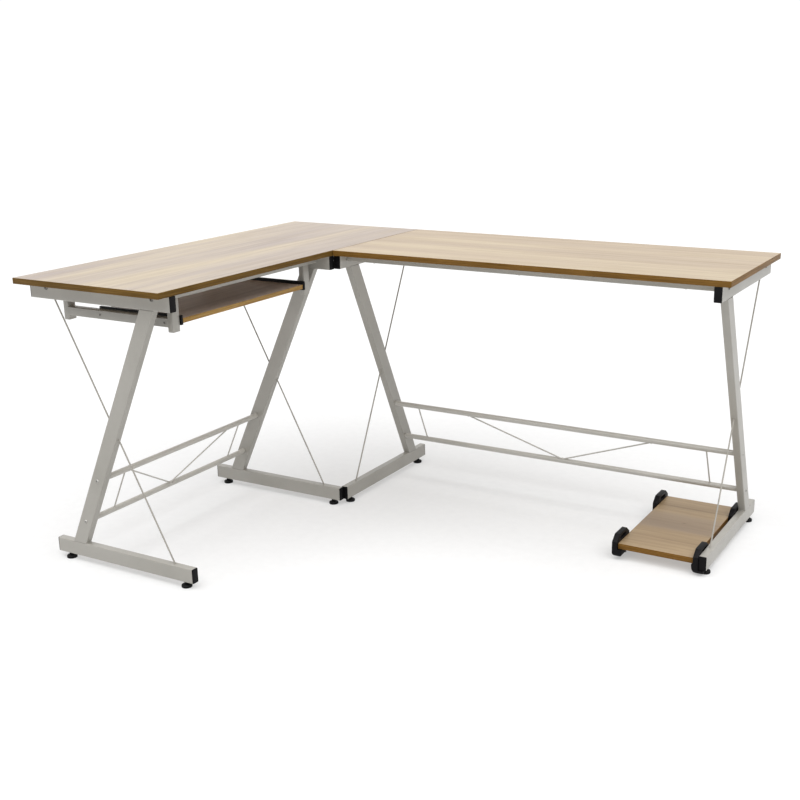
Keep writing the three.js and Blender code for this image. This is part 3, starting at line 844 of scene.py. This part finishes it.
def tray_screw_spots():
    """Screws through each channel's lower lip into the tray board, seen from below."""
    spots = []
    low, high = local_box("tray_board")
    for side, inward in ((low.y, 1), (high.y, -1)):
        for share in (0.2, 0.8):
            s = low.x + (high.x - low.x) * share
            spots.append(("left", (s, side + inward * TRAY_SCREW_INSET, low.z), (0, 0, -1)))
    return spots


def channel_flange(name):
    """The channel's mounting flange, folded under the edge of the tray board."""
    low, high = local_box("tray_board")
    channel_low, channel_high = local_box(f"tray_channel_{name}")
    near = (channel_high.y, low.y + FLANGE_REACH)
    far = (high.y - FLANGE_REACH, channel_low.y)
    t = near if name == "near" else far
    shape = bmesh.new()
    rounded_block(shape, Vector((low.x + FLANGE_INSET, t[0], low.z - FLANGE)),
                  Vector((high.x - FLANGE_INSET, t[1], low.z - HAIR)), 0.4 * MM)
    shape.transform(WINGS["left"])
    finish_mesh(f"tray_channel_{name}_flange", to_mesh(name, shape), "tray", "black_steel", BLACK_COAT)


# ---------------------------------------------------------------- joint under the seam
def seam_brackets():
    """Two steel angles that hold the left top to the right wing's first frame; their screws' spots."""
    low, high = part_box("right_inner_top_bar")
    back = WINGS["left"].inverted()
    spots = []
    for index, share in enumerate((0.25, 0.75)):
        y = low.y + (high.y - low.y) * share
        shape = bmesh.new()
        corner = Vector((low.x - HAIR, y + ANGLE_HALF, UNDERSIDE - HAIR))
        for leaf in (
            Vector((low.x - ANGLE_REACH, y - ANGLE_HALF, UNDERSIDE - ANGLE)),
            Vector((low.x - ANGLE, y - ANGLE_HALF, low.z + ANGLE_RISE)),
        ):
            rounded_block(shape, leaf, corner, 0.5 * MM)
        finish_mesh(f"seam_bracket_{index + 1}", to_mesh("seam", shape), "desk", "frame_steel", FRAME_COAT)
        for offset in (-ANGLE_SCREWS, ANGLE_SCREWS):
            under = back @ Vector((low.x - 28 * MM, y + offset, UNDERSIDE - ANGLE))
            side = back @ Vector((low.x - ANGLE, y + offset, low.z + 14 * MM))
            spots.append(("left", under, (0, 0, -1)))
            spots.append(("left", side, (-1, 0, 0)))
    return spots


# ---------------------------------------------------------------- stage, light and camera
def build_stage():
    """A large pale floor."""
    shape = bmesh.new()
    bmesh.ops.create_grid(shape, x_segments=8, y_segments=8, size=40)
    mesh = to_mesh("floor", shape)
    floor = bpy.data.objects.new("floor", mesh)
    bpy.context.scene.collection.objects.link(floor)
    mesh.materials.append(studio_floor("studio_floor"))


def build_light():
    """White surroundings to look at and in reflections, a dim even fill and two broad lights."""
    world = bpy.data.worlds.new("studio")
    bpy.context.scene.world = world
    world.use_nodes = True
    tree = world.node_tree
    fill = tree.nodes["Background"]
    fill.inputs["Color"].default_value = (1.0, 1.0, 1.0, 1.0)
    fill.inputs["Strength"].default_value = FILL
    seen = tree.nodes.new("ShaderNodeBackground")
    seen.inputs["Color"].default_value = (1.0, 1.0, 1.0, 1.0)
    seen.inputs["Strength"].default_value = 1.05
    path = tree.nodes.new("ShaderNodeLightPath")
    bright = tree.nodes.new("ShaderNodeMath")
    bright.operation = "MAXIMUM"
    tree.links.new(path.outputs["Is Camera Ray"], bright.inputs[0])
    tree.links.new(path.outputs["Is Glossy Ray"], bright.inputs[1])
    mixed = tree.nodes.new("ShaderNodeMixShader")
    tree.links.new(bright.outputs["Value"], mixed.inputs["Fac"])
    tree.links.new(fill.outputs["Background"], mixed.inputs[1])
    tree.links.new(seen.outputs["Background"], mixed.inputs[2])
    tree.links.new(mixed.outputs["Shader"], tree.nodes["World Output"].inputs["Surface"])
    for name, source, strength, spread in SUNS:
        sun = bpy.data.lights.new(name, "SUN")
        sun.energy = strength
        sun.angle = math.radians(spread)
        lamp = bpy.data.objects.new(name, sun)
        lamp.rotation_mode = "QUATERNION"
        lamp.rotation_quaternion = Vector(source).to_track_quat("Z", "Y")
        bpy.context.scene.collection.objects.link(lamp)


def build_camera():
    """A standing view from the front right of the desk, looking slightly down."""
    data = bpy.data.cameras.new("camera")
    data.lens = CAMERA_LENS
    data.sensor_width = 36
    data.shift_x, data.shift_y = CAMERA_SHIFT
    camera = bpy.data.objects.new("camera", data)
    camera.location = CAMERA_PLACE
    yaw, pitch, roll = (math.radians(angle) for angle in CAMERA_TURN)
    turn = Matrix.Rotation(yaw, 4, "Z") @ Matrix.Rotation(math.pi / 2 - pitch, 4, "X")
    camera.rotation_euler = (turn @ Matrix.Rotation(roll, 4, "Z")).to_euler()
    bpy.context.scene.collection.objects.link(camera)
    bpy.context.scene.camera = camera
    bpy.context.scene.view_settings.view_transform = "Standard"


# ---------------------------------------------------------------- putting it together
def cad_coat(name):
    """The paint of a steel node that stays as the CAD made it."""
    if name.endswith("brace_rod"):
        return ROD_COAT
    # the stretcher tubes get the frame's coat painted lighter, which stands in for the light on them
    if name.endswith("stretcher"):
        return STRETCHER_COAT_PAINTED_LIGHTER
    return FRAME_COAT


def coat_cad_nodes():
    """Gives every CAD node that stays in view its finish."""
    for name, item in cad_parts.items():
        if item.hide_render:
            continue
        item.data.materials.clear()
        item.data.materials.append(cad_coat(name))


def build_desk():
    make_board("left_top", "desk", "top_laminate", LEFT_LAMINATE, TOP_BAND)
    make_board("right_top", "desk", "top_laminate", RIGHT_LAMINATE, WARM_BAND)
    make_board("tray_board", "tray", "tray_laminate", TRAY_LAMINATE, TRAY_BAND)
    make_board("stand_board", "desk", "stand_laminate", STAND_LAMINATE, STAND_BAND)
    for index, name in enumerate(FRAMES):
        frame_welds(name, index)
        for end in ("outer", "inner"):
            end_cap(f"{name}_top_cap_{end}")
            end_cap(f"{name}_foot_cap_{end}")
            levelling_foot(f"{name}_leveller_{end}")
    for wing in WINGS:
        stretcher_welds(wing)
    for side in ("near", "far"):
        softened_node(f"tray_hanger_{side}", "desk", "frame_steel", FRAME_COAT, 0.7 * MM)
        softened_node(f"tray_channel_{side}", "tray", "black_steel", BLACK_COAT, 0.3 * MM)
        softened_node(f"tray_rail_{side}", "desk", "black_steel", BLACK_COAT, 0.5 * MM)
        channel_flange(side)
        for place in ("outer", "inner"):
            guard(f"stand_guard_{place}_{side}")
    channel_stops()
    bolt_everything()


def bolt_everything():
    """Every screw and bolt: name, body, finish, slot, what finds its spots, head and its radius."""
    steel, black, plastic = "frame_steel", "black_steel", "black_plastic"
    for name, body, finish, slot, find_spots, head, radius in (
        # the top-bar screws take the zinc darkened as painted shade
        ("top_bar_screw", "desk", SHADE_DARKENED_ZINC, steel, bar_screw_spots, button_head, 5.6 * MM),
        ("leg_bolt", "desk", ZINC, steel, leg_bolt_spots, button_head, 4.6 * MM),
        ("rail_screw", "desk", ZINC, steel, rail_screw_spots, pan_head, 4.2 * MM),
        # the hanger screws take the zinc darkened as painted shade too
        ("hanger_screw", "desk", SHADE_DARKENED_ZINC, steel, hanger_screw_spots, pan_head, 2.8 * MM),
        ("hanger_catch", "desk", BLACK_PLASTIC, plastic, hanger_catch_spots, pan_head, 4.4 * MM),
        ("tray_screw", "tray", ZINC, black, tray_screw_spots, pan_head, 3.4 * MM),
        ("guard_screw", "desk", ZINC, steel, guard_screw_spots, pan_head, 3.6 * MM),
        ("seam_screw", "desk", ZINC, steel, seam_brackets, pan_head, 4.0 * MM),
    ):
        fasteners(name, body, finish, slot, find_spots(), head, radius)


build_desk()
coat_cad_nodes()
build_stage()
build_light()
build_camera()
